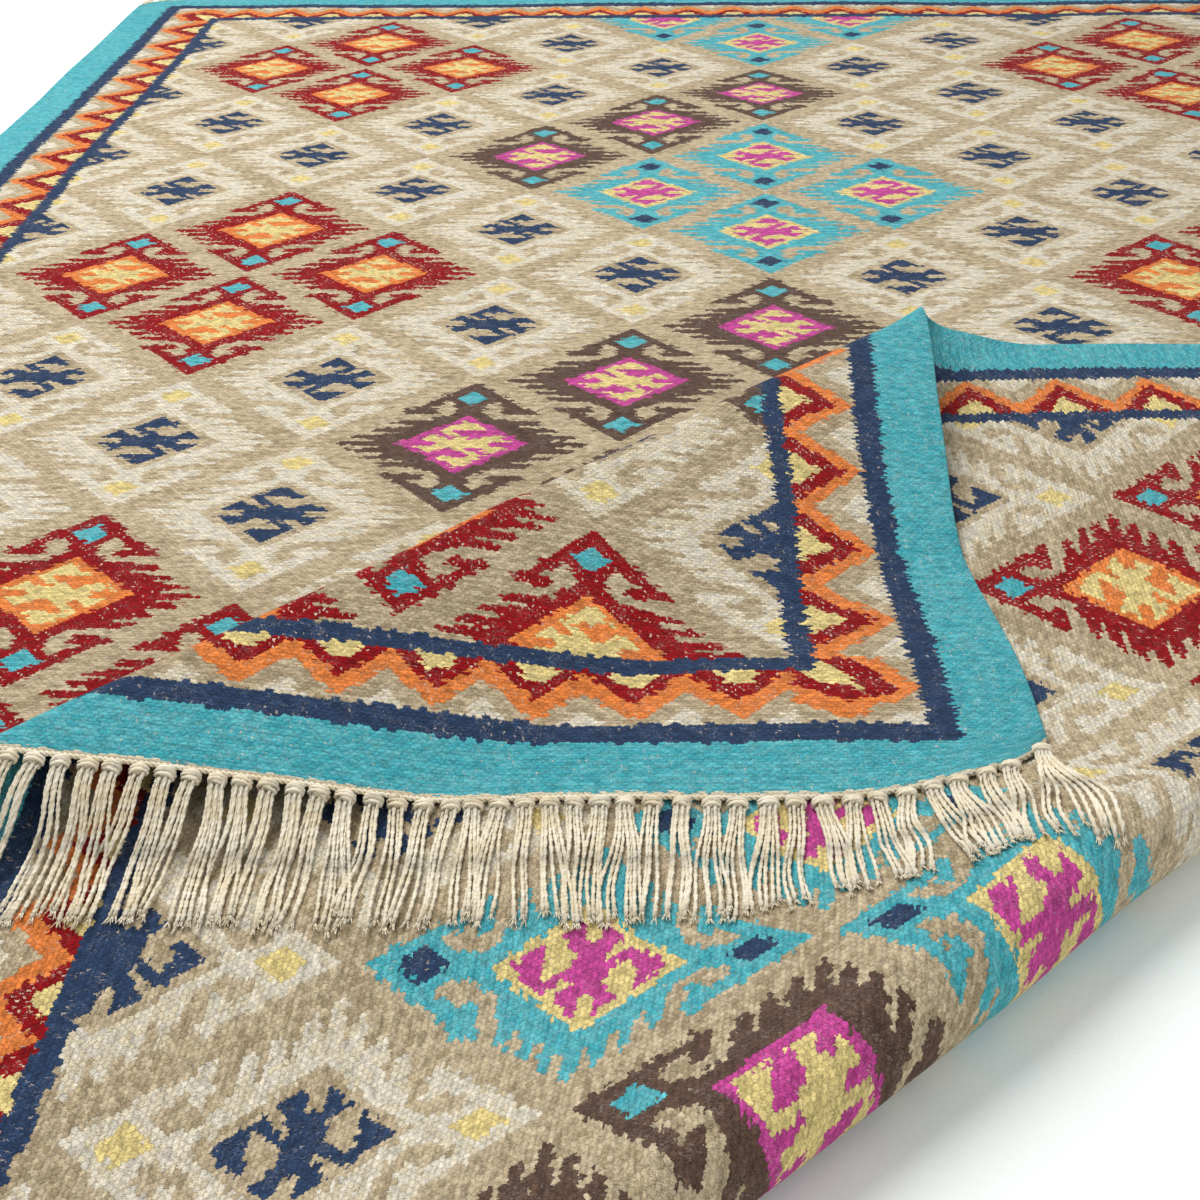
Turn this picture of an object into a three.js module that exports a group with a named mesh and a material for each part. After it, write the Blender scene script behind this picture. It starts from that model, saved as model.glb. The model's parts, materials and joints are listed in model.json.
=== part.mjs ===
// A flat-woven wool rug with a knotted cotton fringe at both ends. It lies on the floor, back side up,
// with its near right corner folded over onto it along a diagonal, face up, and the far corner of that
// layer folded forward again, so that three layers lie in a flat Z. Millimetres, +Z up, +Y away from the
// viewer. The origin is the middle of the box on the floor.

import * as THREE from 'three';

// The flat rug. Its pattern is a lattice of diamonds inside a border.
const cellWidth = 120; // from one column of diamonds to the next, across the rug
const cellLength = 114; // from one row of diamonds to the next, along the rug
const columns = 12;
const rows = 20;
const border = 132;
const giveAcross = 9.5; // how much wider than its chart the weave has turned out, on each side of the middle
const giveAlong = 14; // and how much longer
const clothThickness = 4;
const halfWidth = (columns * cellWidth) / 2 + border + giveAcross;
const halfLength = (rows * cellLength) / 2 + border + giveAlong;
const cornerPull = 28; // how far each end curves back at its corners
const cornerRun = 110; // the width over which it does
const cornerBlunt = 2; // cut off the two corners that the folds run round
const cornerFlare = 17; // how far the near right corner's selvedge has stretched outwards
const flareAcross = { from: 610, over: 220 };
const flareAlong = { from: 1014, over: 200 };

// The fringe: one band of knots along each end, with hanging bunches of cord.
const fringeSeam = 0.6;
const fringeThickness = 3;
const knotBand = 11;
const bunchPitch = 28;
const bunchWidth = 19;
const bunchLength = 80;
const bunchBend = 18; // degrees that one facet of a bunch takes up at most

// The folds. Places are measured along the diagonal from the rug's middle, towards the near right corner.
const layerGap = 1;
const rollLanding = 150; // radius of the bend as the middle layer comes down onto the bottom one
const ridgeLift = 27; // degrees, as the middle layer rises into the ridge
const ridgeLifting = 60;
const ridgeLanding = 100;

// The ridge and the roll are uneven: rows along the fold, the ridge from the fringed end to the selvedge.
// The roll starts where the bottom layer leaves the floor. Each slope, in degrees, is that of the layer
// as it comes down again.
const ridgeTable = [
  { along: -800, centre: 81, radius: 14.5, rise: 15.5, slope: 11 },
  { along: -600, centre: 77.5, radius: 13, rise: 27.5, slope: 13.1 },
  { along: -440, centre: 75.5, radius: 13, rise: 31, slope: 14.7 },
  { along: -320, centre: 67, radius: 14.5, rise: 24, slope: 14.7 },
  { along: -200, centre: 68, radius: 18, rise: 16, slope: 13.4 },
  { along: -80, centre: 65.5, radius: 22, rise: 2, slope: 11.6 },
  { along: 40, centre: 63.5, radius: 21, rise: 11, slope: 10.2 },
  { along: 160, centre: 55, radius: 21, rise: 22, slope: 9.3 },
];
const rollTable = [
  { along: -950, start: 527, radius: 23, slope: 13.5 },
  { along: -720, start: 530, radius: 24, slope: 17.5 },
  { along: -560, start: 531, radius: 24, slope: 21 },
  { along: -440, start: 528, radius: 27, slope: 24 },
  { along: -330, start: 526, radius: 25, slope: 23.5 },
  { along: -200, start: 533, radius: 19, slope: 20 },
  { along: 0, start: 536, radius: 17, slope: 14 },
  { along: 300, start: 525, radius: 15, slope: 12 },
];

// How many facets each stretch of the folded section gets, from the floor to the tip of the flap.
const facets = {
  roll: 12,
  rollSlope: 2,
  rollLanding: 3,
  middle: 4,
  lift: 3,
  rise: 1,
  ridge: 12,
  ridgeSlope: 2,
  ridgeLanding: 3,
  flap: 6,
  tip: 5,
};
const facetsAlong = 11;
const cornerFacets = 3; // over the width where an end curves back
const searchSteps = 200; // along a line, to find where it enters and leaves the cloth
const halvings = 40; // from there to the very edge

const root2 = Math.SQRT2;
const radians = THREE.MathUtils.degToRad;
const bottomHeight = clothThickness / 2;
const layerStep = clothThickness + layerGap;

// Evenly spaced numbers, both ends included.
function spread(from, to, steps) {
  return Array.from({ length: steps + 1 }, (_, step) => THREE.MathUtils.lerp(from, to, step / steps));
}

// A smooth value from a table whose rows are sorted by their place along the fold.
function tableValue(table, along, column) {
  if (along <= table[0].along) return table[0][column];
  for (let i = 1; i < table.length; i += 1) {
    const [low, high] = [table[i - 1], table[i]];
    if (along <= high.along) {
      const part = (along - low.along) / (high.along - low.along);
      return THREE.MathUtils.lerp(low[column], high[column], THREE.MathUtils.smoothstep(part, 0, 1));
    }
  }
  return table[table.length - 1][column];
}

// The section across the folds: a chain of straight stretches and arcs. A positive turn is upwards
// while the cloth runs towards the near right corner.
function foldSection(along) {
  const start = tableValue(rollTable, along, 'start');
  const radius = tableValue(rollTable, along, 'radius');
  const rollSlope = tableValue(rollTable, along, 'slope');
  const down = radians(rollSlope);
  const middleHeight = bottomHeight + layerStep;
  const rollDrop = bottomHeight + radius * (1 + Math.cos(down)) - middleHeight;
  const rollRun = (rollDrop - rollLanding * (1 - Math.cos(down))) / Math.sin(down);
  const landed = start - radius * Math.sin(down) - rollRun * Math.cos(down) - rollLanding * Math.sin(down);

  const centre = tableValue(ridgeTable, along, 'centre');
  const ridgeRadius = tableValue(ridgeTable, along, 'radius');
  const rise = tableValue(ridgeTable, along, 'rise');
  const up = radians(ridgeLift);
  const ridgeSlope = tableValue(ridgeTable, along, 'slope');
  const over = radians(ridgeSlope);
  const lifted = centre - ridgeRadius * Math.sin(up) + rise * Math.cos(up) + ridgeLifting * Math.sin(up);
  const ridgeFoot = middleHeight + ridgeLifting * (1 - Math.cos(up)) + rise * Math.sin(up);
  const ridgeCentre = ridgeFoot + ridgeRadius * Math.cos(up);
  const flapHeight = middleHeight + layerStep;
  const flapDrop = ridgeCentre + ridgeRadius * Math.cos(over) - flapHeight;
  const flapRun = (flapDrop - ridgeLanding * (1 - Math.cos(over))) / Math.sin(over);
  const flapLanded =
    centre + ridgeRadius * Math.sin(over) + flapRun * Math.cos(over) + ridgeLanding * Math.sin(over);

  const arc = (name, bendRadius, degrees) => ({
    name,
    length: bendRadius * radians(Math.abs(degrees)),
    turn: radians(degrees),
  });
  const straight = (name, length) => ({ name, length, turn: 0 });
  return {
    start,
    stretches: [
      arc('roll', radius, 180 + rollSlope),
      straight('rollSlope', rollRun),
      arc('rollLanding', rollLanding, -rollSlope),
      straight('middle', landed - lifted),
      arc('lift', ridgeLifting, -ridgeLift),
      straight('rise', rise),
      arc('ridge', ridgeRadius, -(180 - ridgeLift + ridgeSlope)),
      straight('ridgeSlope', flapRun),
      arc('ridgeLanding', ridgeLanding, ridgeSlope),
      straight('flap', landed - flapLanded),
      arc('climb', rollLanding - layerStep, rollSlope),
    ],
  };
}

// Where a point of the middle of the cloth lies on the section, and the way the cloth runs there.
function walkSection(section, distance) {
  const place = { across: Math.min(distance, section.start), height: bottomHeight, heading: 0 };
  let left = distance - section.start;
  for (const stretch of section.stretches) {
    if (left <= 0) return place;
    const part = Math.min(1, left / stretch.length);
    const turn = stretch.turn * part;
    const length = stretch.length * part;
    const chord = turn === 0 ? length : (length * Math.sin(turn / 2)) / (turn / 2);
    place.across += chord * Math.cos(place.heading + turn / 2);
    place.height += chord * Math.sin(place.heading + turn / 2);
    place.heading += turn;
    left -= stretch.length;
  }
  if (left > 0) {
    place.across += left * Math.cos(place.heading);
    place.height += left * Math.sin(place.heading);
  }
  return place;
}

// How far the cloth has stretched sideways at a point of the flat rug.
function flareAt(x, y) {
  const across = THREE.MathUtils.smoothstep(x - flareAcross.from, 0, flareAcross.over);
  return cornerFlare * across * THREE.MathUtils.smoothstep(-y - flareAlong.from, 0, flareAlong.over);
}

// Folds a point of the flat rug, x across and y along it, lifted off its mid-surface by a distance.
function foldPoint(flatX, y, offset) {
  const x = flatX + flareAt(flatX, y);
  const along = (x + y) / root2;
  const place = walkSection(foldSection(along), (x - y) / root2);
  const across = place.across - offset * Math.sin(place.heading);
  const height = place.height + offset * Math.cos(place.heading);
  return new THREE.Vector3((along + across) / root2, (along - across) / root2, height);
}

// The distance of the rug's end from its middle, which is less near the selvedges.
function endAt(x) {
  const inner = halfWidth - cornerRun;
  const part = THREE.MathUtils.clamp((Math.abs(x) - inner) / cornerRun, 0, 1);
  return halfLength - cornerPull * part * part;
}

// A closed slab on the folds from quads of flat points, given anticlockwise as seen from above.
function foldedSlab(quads, thickness, shift) {
  const indexOf = new Map();
  const flat = [];
  const cornerIndex = (point) => {
    const key = `${point.x.toFixed(3)} ${point.y.toFixed(3)}`;
    if (!indexOf.has(key)) {
      indexOf.set(key, flat.length);
      flat.push(point);
    }
    return indexOf.get(key);
  };
  const faces = quads.map((quad) => quad.map(cornerIndex));
  const count = flat.length;
  const positions = [];
  for (const offset of [thickness / 2 + shift, shift - thickness / 2]) {
    for (const point of flat) positions.push(...foldPoint(point.x, point.y, offset).toArray());
  }
  const triangles = [];
  const edges = new Set();
  for (const [a, b, c, d] of faces) {
    triangles.push(a, b, c, a, c, d);
    triangles.push(count + a, count + c, count + b, count + a, count + d, count + c);
    for (const [from, to] of [[a, b], [b, c], [c, d], [d, a]]) edges.add(`${from} ${to}`);
  }
  for (const edge of edges) {
    const [from, to] = edge.split(' ').map(Number);
    if (!edges.has(`${to} ${from}`)) {
      triangles.push(count + from, count + to, to, count + from, to, from);
    }
  }
  const geometry = new THREE.BufferGeometry();
  geometry.setAttribute('position', new THREE.Float32BufferAttribute(positions, 3));
  geometry.setIndex(triangles);
  geometry.computeVertexNormals();
  return geometry;
}

function inside(along, across) {
  const x = (along + across) / root2;
  const y = (along - across) / root2;
  return Math.abs(x) <= halfWidth && Math.abs(y) <= endAt(x);
}

// Lines over the cloth, parallel to the folds: each gives its distance across the folds at a place along.
function clothLines() {
  const kink = (halfLength - halfWidth) / root2; // where the other two corners lie across the folds
  const corner = (halfWidth + halfLength - cornerPull) / root2 - cornerBlunt;
  const curved = spread(0, cornerRun / root2, cornerFacets); // over the width where the end curves back
  const ground = [
    ...curved.map((place) => place - corner),
    -(corner + kink) / 2,
    ...curved.map((place) => -kink - place).reverse(),
    0,
    ...curved.map((place) => kink + place),
  ];
  const lines = ground.map((place) => () => place);
  lines.push((along) => foldSection(along).start);
  const names = Object.keys(facets).filter((name) => name !== 'tip'); // the tip is where the flap climbs
  names.forEach((name, index) => {
    for (let step = 1; step <= facets[name]; step += 1) {
      lines.push((along) => {
        const section = foldSection(along);
        const passed = section.stretches.slice(0, index);
        const before = passed.reduce((sum, stretch) => sum + stretch.length, section.start);
        return before + (section.stretches[index].length * step) / facets[name];
      });
    }
  });
  const flapEnd = lines[lines.length - 1];
  for (let step = 1; step <= facets.tip; step += 1) {
    lines.push((along) => THREE.MathUtils.lerp(flapEnd(along), corner, step / facets.tip));
  }
  return lines;
}

// The stretch of such a line that lies on the rug, as flat points.
function lineOnCloth(line) {
  const middle = line(0);
  const low = Math.max(-halfWidth * root2 - middle, -halfLength * root2 + middle);
  const high = Math.min(halfWidth * root2 - middle, halfLength * root2 + middle);
  const onCloth = spread(low, high, searchSteps).filter((along) => inside(along, line(along)));
  const middleOn = onCloth[Math.floor(onCloth.length / 2)];
  const ends = [low - cornerRun, high + cornerRun].map((far) => {
    let within = middleOn;
    let beyond = far;
    for (let round = 0; round < halvings; round += 1) {
      const half = (within + beyond) / 2;
      if (inside(half, line(half))) within = half;
      else beyond = half;
    }
    return within;
  });
  return spread(ends[0], ends[1], facetsAlong).map((along) => {
    const across = line(along);
    return { x: (along + across) / root2, y: (along - across) / root2 };
  });
}

function clothQuads() {
  const lines = clothLines().map(lineOnCloth);
  const quads = [];
  for (let i = 1; i < lines.length; i += 1) {
    for (let j = 1; j <= facetsAlong; j += 1) {
      quads.push([lines[i - 1][j - 1], lines[i][j - 1], lines[i][j], lines[i - 1][j]]);
    }
  }
  return quads;
}

// How far the cloth turns in all between two distances across the folds, in degrees.
function turning(along, from, to) {
  const section = foldSection(along);
  let place = section.start;
  let total = 0;
  for (const stretch of section.stretches) {
    const shared = Math.min(to, place + stretch.length) - Math.max(from, place);
    if (shared > 0) total += (Math.abs(stretch.turn) * shared) / stretch.length;
    place += stretch.length;
  }
  return THREE.MathUtils.radToDeg(total);
}

// One comb along an end of the rug: the near end is at -1 and the far end at 1.
function fringeQuads(end) {
  const count = Math.floor((2 * halfWidth) / bunchPitch);
  const first = (-(count - 1) * bunchPitch) / 2;
  const quads = [];
  const pointAt = (x, beyond) => ({ x, y: end * (endAt(x) + fringeSeam + beyond) });
  const addPatch = (xs, depths) => {
    for (let i = 1; i < xs.length; i += 1) {
      for (let j = 1; j < depths.length; j += 1) {
        const quad = [
          pointAt(xs[i - 1], depths[j]),
          pointAt(xs[i], depths[j]),
          pointAt(xs[i], depths[j - 1]),
          pointAt(xs[i - 1], depths[j - 1]),
        ];
        quads.push(end < 0 ? quad : quad.reverse());
      }
    }
  };
  const stepsFor = (left, right, near, far) => {
    const y = end * endAt(left);
    const from = (left - y - end * near) / root2;
    const to = (right - y - end * far) / root2;
    const bend = turning((left + y) / root2, Math.min(from, to), Math.max(from, to));
    return Math.max(1, Math.ceil(bend / bunchBend));
  };
  for (let bunch = 0; bunch < count; bunch += 1) {
    const middle = first + bunch * bunchPitch;
    const left = middle - bunchWidth / 2;
    const right = middle + bunchWidth / 2;
    const next = left + bunchPitch;
    const xs = spread(left, right, stepsFor(left, right, 0, knotBand));
    const tip = knotBand + bunchLength;
    addPatch(xs, [0, knotBand]);
    addPatch(xs, spread(knotBand, tip, stepsFor(middle, middle, knotBand, tip)));
    if (bunch < count - 1) addPatch(spread(right, next, stepsFor(right, next, 0, knotBand)), [0, knotBand]);
  }
  return quads;
}

function namedMesh(name, geometry, color) {
  const material = new THREE.MeshStandardMaterial({ color, roughness: 0.95, metalness: 0 });
  const mesh = new THREE.Mesh(geometry, material);
  mesh.name = name;
  return mesh;
}

const rug = new THREE.Group();
const fringeShift = (fringeThickness - clothThickness) / 2; // the cords lie flush with the cloth's face
rug.add(namedMesh('rug_cloth', foldedSlab(clothQuads(), clothThickness, 0), 0xbeaa8c));
rug.add(namedMesh('near_fringe', foldedSlab(fringeQuads(-1), fringeThickness, fringeShift), 0xebe1c8));
rug.add(namedMesh('far_fringe', foldedSlab(fringeQuads(1), fringeThickness, fringeShift), 0xebe1c8));

const box = new THREE.Box3().setFromObject(rug);
const centre = box.getCenter(new THREE.Vector3());
rug.position.set(-centre.x, -centre.y, -box.min.z);

export default rug;
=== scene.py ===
import functools
import json
import math
import random

import bmesh
import bpy
from mathutils import Matrix, Vector, noise
from mathutils.bvhtree import BVHTree

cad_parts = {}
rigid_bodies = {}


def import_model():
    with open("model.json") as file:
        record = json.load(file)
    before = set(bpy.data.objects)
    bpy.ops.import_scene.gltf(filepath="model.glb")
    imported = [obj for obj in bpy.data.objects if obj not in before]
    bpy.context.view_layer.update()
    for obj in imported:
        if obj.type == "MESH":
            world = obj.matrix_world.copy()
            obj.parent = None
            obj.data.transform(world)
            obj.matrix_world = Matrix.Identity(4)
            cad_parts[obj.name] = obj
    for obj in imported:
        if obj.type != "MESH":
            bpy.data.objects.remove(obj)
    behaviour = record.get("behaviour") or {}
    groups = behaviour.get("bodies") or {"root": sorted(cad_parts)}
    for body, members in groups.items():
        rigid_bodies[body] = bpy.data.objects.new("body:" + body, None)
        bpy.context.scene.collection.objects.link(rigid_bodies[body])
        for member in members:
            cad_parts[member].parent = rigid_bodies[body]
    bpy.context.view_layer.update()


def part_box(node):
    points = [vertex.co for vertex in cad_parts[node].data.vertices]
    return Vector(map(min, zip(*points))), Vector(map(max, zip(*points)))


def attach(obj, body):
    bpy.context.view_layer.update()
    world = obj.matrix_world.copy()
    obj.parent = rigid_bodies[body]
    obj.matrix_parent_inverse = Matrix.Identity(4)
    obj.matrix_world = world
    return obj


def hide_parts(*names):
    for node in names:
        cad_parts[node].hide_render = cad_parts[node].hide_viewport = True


for leftOver in list(bpy.data.objects):
    bpy.data.objects.remove(leftOver)

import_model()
print("frame loaded")

root2 = math.sqrt(2)

# The flat rug: a lattice of diamonds inside a border
rug = {
    "cellWidth": 0.120,
    "cellLength": 0.114,
    "columns": 12,
    "rows": 20,
    "border": 0.132,
    "giveAcross": 0.0095,  # how much wider than its chart the weave has turned out, on each side
    "giveAlong": 0.014,  # and how much longer
    "thickness": 0.004,
    "cornerPull": 0.028,  # how far each end curves back at its corners
    "cornerRun": 0.110,  # the width over which it does
    "plainBand": 0.046,  # the outermost band, which the pull narrows
    "tipPull": 0.020,  # how much further back the very corner is drawn
    "tipRun": 0.026,
    "tipDeep": 0.120,  # how far in from the end that still shows
    "cornerFlare": 0.017,  # how far the near right corner's selvedge has stretched outwards
    "flareAcross": {"from": 0.610, "over": 0.220},
    "flareAlong": {"from": 1.014, "over": 0.200},
}
halfWidth = rug["columns"] * rug["cellWidth"] / 2 + rug["border"] + rug["giveAcross"]
halfLength = rug["rows"] * rug["cellLength"] / 2 + rug["border"] + rug["giveAlong"]

# The folds, at places along them, measured across from the rug's middle towards the near right corner
fold = {
    "layerGap": 0.001,
    "rollLanding": 0.150,
    "ridgeLift": math.radians(27),
    "ridgeLifting": 0.060,
    "ridgeLanding": 0.100,
    "ridge": [
        {"along": -0.800, "centre": 0.081, "radius": 0.0145, "rise": 0.0155, "slope": 11},
        {"along": -0.600, "centre": 0.0775, "radius": 0.013, "rise": 0.0275, "slope": 13.1},
        {"along": -0.440, "centre": 0.0755, "radius": 0.013, "rise": 0.031, "slope": 14.7},
        {"along": -0.320, "centre": 0.067, "radius": 0.0145, "rise": 0.024, "slope": 14.7},
        {"along": -0.200, "centre": 0.068, "radius": 0.018, "rise": 0.016, "slope": 13.4},
        {"along": -0.080, "centre": 0.0655, "radius": 0.022, "rise": 0.002, "slope": 11.6},
        {"along": 0.040, "centre": 0.0635, "radius": 0.021, "rise": 0.011, "slope": 10.2},
        {"along": 0.160, "centre": 0.055, "radius": 0.021, "rise": 0.022, "slope": 9.3},
    ],
    "roll": [
        {"along": -0.950, "start": 0.527, "radius": 0.023, "slope": 13.5},
        {"along": -0.720, "start": 0.530, "radius": 0.024, "slope": 17.5},
        {"along": -0.560, "start": 0.531, "radius": 0.024, "slope": 21},
        {"along": -0.440, "start": 0.528, "radius": 0.027, "slope": 24},
        {"along": -0.330, "start": 0.526, "radius": 0.025, "slope": 23.5},
        {"along": -0.200, "start": 0.533, "radius": 0.019, "slope": 20},
        {"along": 0, "start": 0.536, "radius": 0.017, "slope": 14},
        {"along": 0.300, "start": 0.525, "radius": 0.015, "slope": 12},
    ],
}

cadLow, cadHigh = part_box("rug_cloth")
sheetCentre = Vector((cadLow.x + halfWidth, cadHigh.y - halfLength, 0))


def lerp(low, high, part):
    return low + (high - low) * part


def clamp(value, low=0.0, high=1.0):
    return max(low, min(high, value))


def smooth(part):
    part = clamp(part)
    return part * part * (3 - 2 * part)


def tableValue(rows, along, column):
    if along <= rows[0]["along"]:
        return rows[0][column]
    for low, high in zip(rows, rows[1:]):
        if along <= high["along"]:
            part = (along - low["along"]) / (high["along"] - low["along"])
            return lerp(low[column], high[column], smooth(part))
    return rows[-1][column]


@functools.lru_cache(maxsize=20000)
def foldSection(along):
    # where the bottom layer ends, and the chain of bends after it as (name, length, turn)
    bottom = rug["thickness"] / 2
    layer = rug["thickness"] + fold["layerGap"]
    start = tableValue(fold["roll"], along, "start")
    radius = tableValue(fold["roll"], along, "radius")
    down, landing = math.radians(tableValue(fold["roll"], along, "slope")), fold["rollLanding"]
    middle = bottom + layer
    rollDrop = bottom + radius * (1 + math.cos(down)) - middle
    rollRun = (rollDrop - landing * (1 - math.cos(down))) / math.sin(down)
    landed = start - (radius + landing) * math.sin(down) - rollRun * math.cos(down)

    centre = tableValue(fold["ridge"], along, "centre")
    ridge = tableValue(fold["ridge"], along, "radius")
    rise = tableValue(fold["ridge"], along, "rise")
    up, lifting = fold["ridgeLift"], fold["ridgeLifting"]
    over, settling = math.radians(tableValue(fold["ridge"], along, "slope")), fold["ridgeLanding"]
    lifted = centre + (lifting - ridge) * math.sin(up) + rise * math.cos(up)
    ridgeCentre = middle + lifting * (1 - math.cos(up)) + rise * math.sin(up) + ridge * math.cos(up)
    flapDrop = ridgeCentre + ridge * math.cos(over) - middle - layer
    flapRun = (flapDrop - settling * (1 - math.cos(over))) / math.sin(over)
    flapLanded = centre + (ridge + settling) * math.sin(over) + flapRun * math.cos(over)
    return start, (
        ("roll", radius * (math.pi + down), math.pi + down),
        ("rollSlope", rollRun, 0),
        ("rollLanding", landing * down, -down),
        ("middle", landed - lifted, 0),
        ("lift", lifting * up, -up),
        ("rise", rise, 0),
        ("ridge", ridge * (math.pi - up + over), -(math.pi - up + over)),
        ("ridgeSlope", flapRun, 0),
        ("ridgeLanding", settling * over, over),
        ("flap", landed - flapLanded, 0),
        ("climb", (landing - layer) * down, down),
    )


def walkSection(along, distance):
    start, stretches = foldSection(along)
    across, height, heading = min(distance, start), rug["thickness"] / 2, 0.0
    left = distance - start
    for _, length, turn in stretches:
        if left <= 0:
            return across, height, heading
        part = min(1, left / length)
        turned = turn * part
        chord = length * part
        if turned:
            chord *= math.sin(turned / 2) / (turned / 2)
        across += chord * math.cos(heading + turned / 2)
        height += chord * math.sin(heading + turned / 2)
        heading += turned
        left -= length
    if left > 0:
        across += left * math.cos(heading)
        height += left * math.sin(heading)
    return across, height, heading


ripple = {"height": 0.0022, "size": 0.19, "fineHeight": 0.0006, "fineSize": 0.06}


def rippleAt(x, y):
    # the layers lie on each other, so one height serves them all
    broad = noise.noise(Vector((x, y, 0.3)) / ripple["size"])
    fine = noise.noise(Vector((x, y, 5.1)) / ripple["fineSize"])
    return ripple["height"] * clamp(0.5 + broad) + ripple["fineHeight"] * clamp(0.5 + fine)


def endPull(x, depth=0.0):
    # how far the weave has drawn back from the end there, less with its depth in from the end
    part = clamp((abs(x) - (halfWidth - rug["cornerRun"])) / rug["cornerRun"])
    tip = clamp((abs(x) - (halfWidth - rug["tipRun"])) / rug["tipRun"])
    pulled = rug["cornerPull"] * part * part * clamp(1 - depth / rug["plainBand"])
    return pulled + rug["tipPull"] * tip * tip * clamp(1 - depth / rug["tipDeep"])


def endAt(x):
    return halfLength - endPull(x)


def flareAt(x, y):
    across, along = rug["flareAcross"], rug["flareAlong"]
    part = smooth((x - across["from"]) / across["over"]) * smooth((-y - along["from"]) / along["over"])
    return rug["cornerFlare"] * part


def foldPoint(x, y, offset):
    x += flareAt(x, y)
    along = round((x + y) / root2, 5)
    across, height, heading = walkSection(along, (x - y) / root2)
    across -= offset * math.sin(heading)
    height += offset * math.cos(heading)
    place = Vector(((along + across) / root2, (along - across) / root2, height)) + sheetCentre
    place.z += rippleAt(place.x, place.y)
    return place


def clothFrame(x, y):
    # the middle of the cloth there, and the ways along its width, along its length and out of its face
    step = 0.0005
    widthWay = (foldPoint(x + step, y, 0) - foldPoint(x - step, y, 0)).normalized()
    lengthWay = (foldPoint(x, y + step, 0) - foldPoint(x, y - step, 0)).normalized()
    return foldPoint(x, y, 0), widthWay, lengthWay, widthWay.cross(lengthWay).normalized()


# Shader maths: a wire is a socket that takes part in sums
class Wire:
    def __init__(self, tree, socket=None):
        self.tree = tree
        self.socket = socket

    def node(self, kind, settings, inputs, output=0):
        made = self.tree.nodes.new(kind)
        for name, value in settings.items():
            setattr(made, name, value)
        for name, value in inputs.items():
            if isinstance(value, Wire):
                self.tree.links.new(value.socket, made.inputs[name])
            else:
                made.inputs[name].default_value = value
        return Wire(self.tree, made.outputs[output])

    def maths(self, operation, *values):
        return self.node("ShaderNodeMath", {"operation": operation}, dict(enumerate(values)))

    def __add__(self, other):
        return self.maths("ADD", self, other)

    def __radd__(self, other):
        return self.maths("ADD", other, self)

    def __sub__(self, other):
        return self.maths("SUBTRACT", self, other)

    def __rsub__(self, other):
        return self.maths("SUBTRACT", other, self)

    def __mul__(self, other):
        return self.maths("MULTIPLY", self, other)

    def __rmul__(self, other):
        return self.maths("MULTIPLY", other, self)

    def __truediv__(self, other):
        return self.maths("DIVIDE", self, other)

    def __mod__(self, other):
        return self.maths("FLOORED_MODULO", self, other)

    def __lt__(self, other):
        return self.maths("LESS_THAN", self, other)

    def __gt__(self, other):
        return self.maths("GREATER_THAN", self, other)

    def __and__(self, other):
        return self.maths("MULTIPLY", self, other)

    def __or__(self, other):
        return self.maths("MAXIMUM", self, other)

    def __abs__(self):
        return self.maths("ABSOLUTE", self)

    def floor(self):
        return self.maths("FLOOR", self)

    def sign(self):
        return self.maths("SIGN", self)

    def lowest(self, other):
        return self.maths("MINIMUM", self, other)

    def highest(self, other):
        return self.maths("MAXIMUM", self, other)

    def between(self, low, high):
        return (self > low) & (self < high)

    def clamped(self):
        return self.node("ShaderNodeClamp", {}, {0: self})

    def ramp(self, low, high):
        # 0 below low, 1 above high
        return ((self - low) / (high - low)).clamped()

    def part(self, name):
        return self.node("ShaderNodeSeparateXYZ", {}, {0: self}, name)

    def scaled(self, amount):
        return self.node("ShaderNodeVectorMath", {"operation": "SCALE"}, {0: self, "Scale": amount})

    def times(self, factors):
        return self.node("ShaderNodeVectorMath", {"operation": "MULTIPLY"}, {0: self, 1: factors})

    def vector(self, x, y, z=0.0):
        return self.node("ShaderNodeCombineXYZ", {}, {0: x, 1: y, 2: z})

    def mixed(self, mask, first, second):
        # the first colour where the mask is 0, the second where it is 1
        return self.node("ShaderNodeMix", {"data_type": "RGBA"}, {0: mask, 6: first, 7: second}, 2)

    def grain(self, place, scale, detail=2.0, output=0):
        inputs = {"Vector": place, "Scale": scale, "Detail": detail}
        return self.node("ShaderNodeTexNoise", {"noise_dimensions": "3D"}, inputs, output)

    def dice(self, place, output=0):
        return self.node("ShaderNodeTexWhiteNoise", {"noise_dimensions": "3D"}, {"Vector": place}, output)

    def bump(self, relief, distance, strength=1.0):
        inputs = {"Strength": strength, "Distance": distance, "Height": relief}
        return self.node("ShaderNodeBump", {}, inputs, "Normal")


def newMaterial(name, **constants):
    # an empty principled material: its shader, and a wire to start sums from
    material = bpy.data.materials.new(name)
    material.use_nodes = True
    shader = material.node_tree.nodes["Principled BSDF"]
    for socket, value in constants.items():
        shader.inputs[socket.replace("_", " ")].default_value = value
    return material, shader, Wire(material.node_tree)


def plug(wire, shader, socket):
    wire.tree.links.new(wire.socket, shader.inputs[socket])


def dyed(red, green, blue):
    # screen colour, 0 to 255, to the linear colour that shaders take
    def linear(value):
        value /= 255
        return value / 12.92 if value <= 0.04045 else ((value + 0.055) / 1.055) ** 2.4

    return (linear(red), linear(green), linear(blue), 1.0)


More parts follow.
